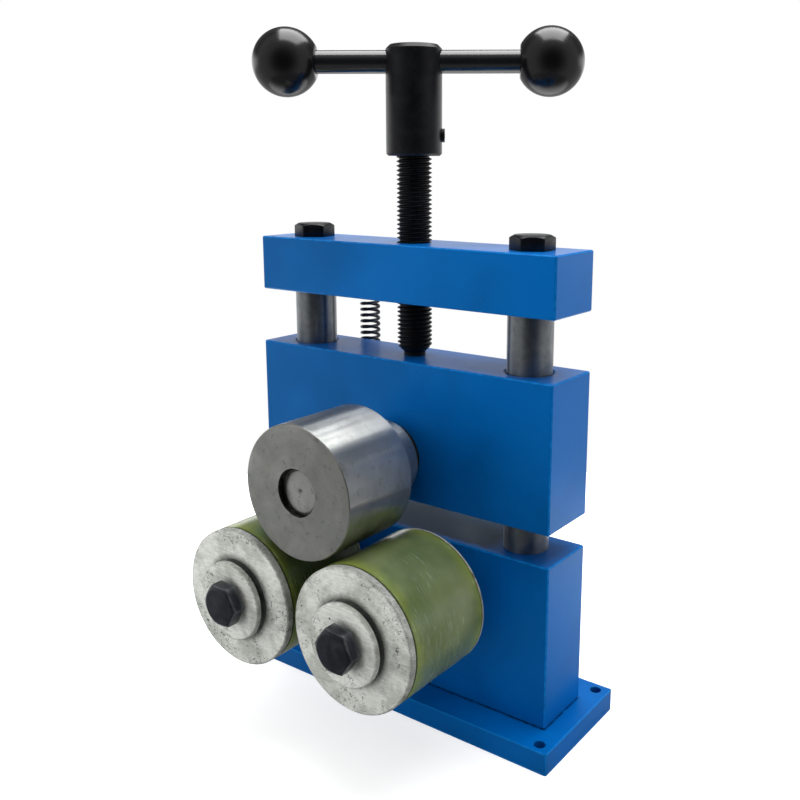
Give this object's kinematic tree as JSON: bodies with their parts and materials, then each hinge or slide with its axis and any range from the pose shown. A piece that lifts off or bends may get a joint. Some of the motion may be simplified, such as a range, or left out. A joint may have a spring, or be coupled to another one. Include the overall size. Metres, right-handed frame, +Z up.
{
  "type": "ring roller",
  "caption": "Bench ring roller: a steel roller on a sliding block is screwed down by a ball-ended tee handle between two polyurethane rollers to curl flat strip into rings.",
  "frame": {"origin": "centre of the base plate's underside, which rests on the bench", "axes": "+Z up along the press screw; -Y the way the rollers stand out; +X to the right of someone facing the rollers"},
  "size_m": [0.184, 0.1468, 0.3104],
  "materials": {
    "blue_paint": "gloss enamel over sawn and milled steel",
    "post_steel": "turned or drawn, lightly polished",
    "ground_steel": "ground round, faced ends",
    "zinc_plate": "zinc plated, dull",
    "black_oxide": "black oxide, satin",
    "polyurethane": "cast polyurethane, translucent olive, smooth",
    "knob_plastic": "moulded phenolic, gloss",
    "bush_bronze": "sintered bronze",
    "bearing_steel": "ground bearing steel",
    "spring_steel": "black spring wire"
  },
  "bodies": {
    "frame": {"axle_end_bolts": "black_oxide", "axle_nut_washers": "zinc_plate", "axle_nuts": "zinc_plate", "base_plate": "blue_paint", "block_screws": "black_oxide", "left_axle": "post_steel", "left_axle_spacers": "post_steel", "left_bearing_inner_rings": "bearing_steel", "left_end_washer": "zinc_plate", "left_guide_post": "post_steel", "left_spring": "spring_steel", "lower_block": "blue_paint", "post_foot_screws": "black_oxide", "right_axle": "post_steel", "right_axle_spacers": "post_steel", "right_bearing_inner_rings": "bearing_steel", "right_end_washer": "zinc_plate", "right_guide_post": "post_steel", "right_spring": "spring_steel", "top_bar": "blue_paint", "top_bar_bolts": "black_oxide", "upper_hook_screws": "black_oxide"},
    "slider": {"slider_block": "blue_paint", "front_shaft_bush": "bush_bronze", "rear_shaft_bush": "bush_bronze", "lower_hook_screws": "black_oxide"},
    "top_roller": {"top_roller": "ground_steel", "roller_collar": "ground_steel", "top_roller_shaft": "post_steel", "thrust_washer": "post_steel", "retaining_ring": "black_oxide"},
    "left_roller": {"left_roller_sleeve": "polyurethane", "left_roller_core": "post_steel", "left_rear_plate": "zinc_plate", "left_front_plate": "zinc_plate", "left_bearing_outer_rings": "bearing_steel", "left_bearing_balls": "bearing_steel"},
    "right_roller": {"right_roller_sleeve": "polyurethane", "right_roller_core": "post_steel", "right_rear_plate": "zinc_plate", "right_front_plate": "zinc_plate", "right_bearing_outer_rings": "bearing_steel", "right_bearing_balls": "bearing_steel"},
    "screw": {"press_screw": "black_oxide", "handle_hub": "black_oxide", "hub_grub_screw": "black_oxide"},
    "handle_bar": {"cross_bar": "black_oxide", "left_ball_knob": "knob_plastic", "right_ball_knob": "knob_plastic"}
  },
  "joints": [
    {"name": "slider_slide", "type": "slide", "parent": "frame", "child": "slider", "axis": [0, 0, 1], "range_m": [-0.003, 0.024], "deforming": ["left_spring", "right_spring"]},
    {"name": "screw_turn", "type": "hinge", "parent": "slider", "child": "screw", "pos_m": [0, 0, 0.1644], "axis": [0, 0, 1], "range_deg": [-540.1, 4320.1]},
    {"name": "cross_bar_slide", "type": "slide", "parent": "screw", "child": "handle_bar", "axis": [0.8339, 0.5519, 0], "range_m": [-0.0318, 0.0286]},
    {"name": "top_roller_spin", "type": "hinge", "parent": "slider", "child": "top_roller", "pos_m": [0, 0, 0.1196], "axis": [0, 1, 0], "continuous": true},
    {"name": "left_roller_spin", "type": "hinge", "parent": "frame", "child": "left_roller", "pos_m": [-0.0325, 0, 0.0663], "axis": [0, 1, 0], "continuous": true},
    {"name": "right_roller_spin", "type": "hinge", "parent": "frame", "child": "right_roller", "pos_m": [0.0325, 0, 0.0663], "axis": [0, 1, 0], "continuous": true}
  ],
  "couplings": [
    {"joint": "screw_turn", "follows": "slider_slide", "rad_per_m": 3141.6}
  ]
}
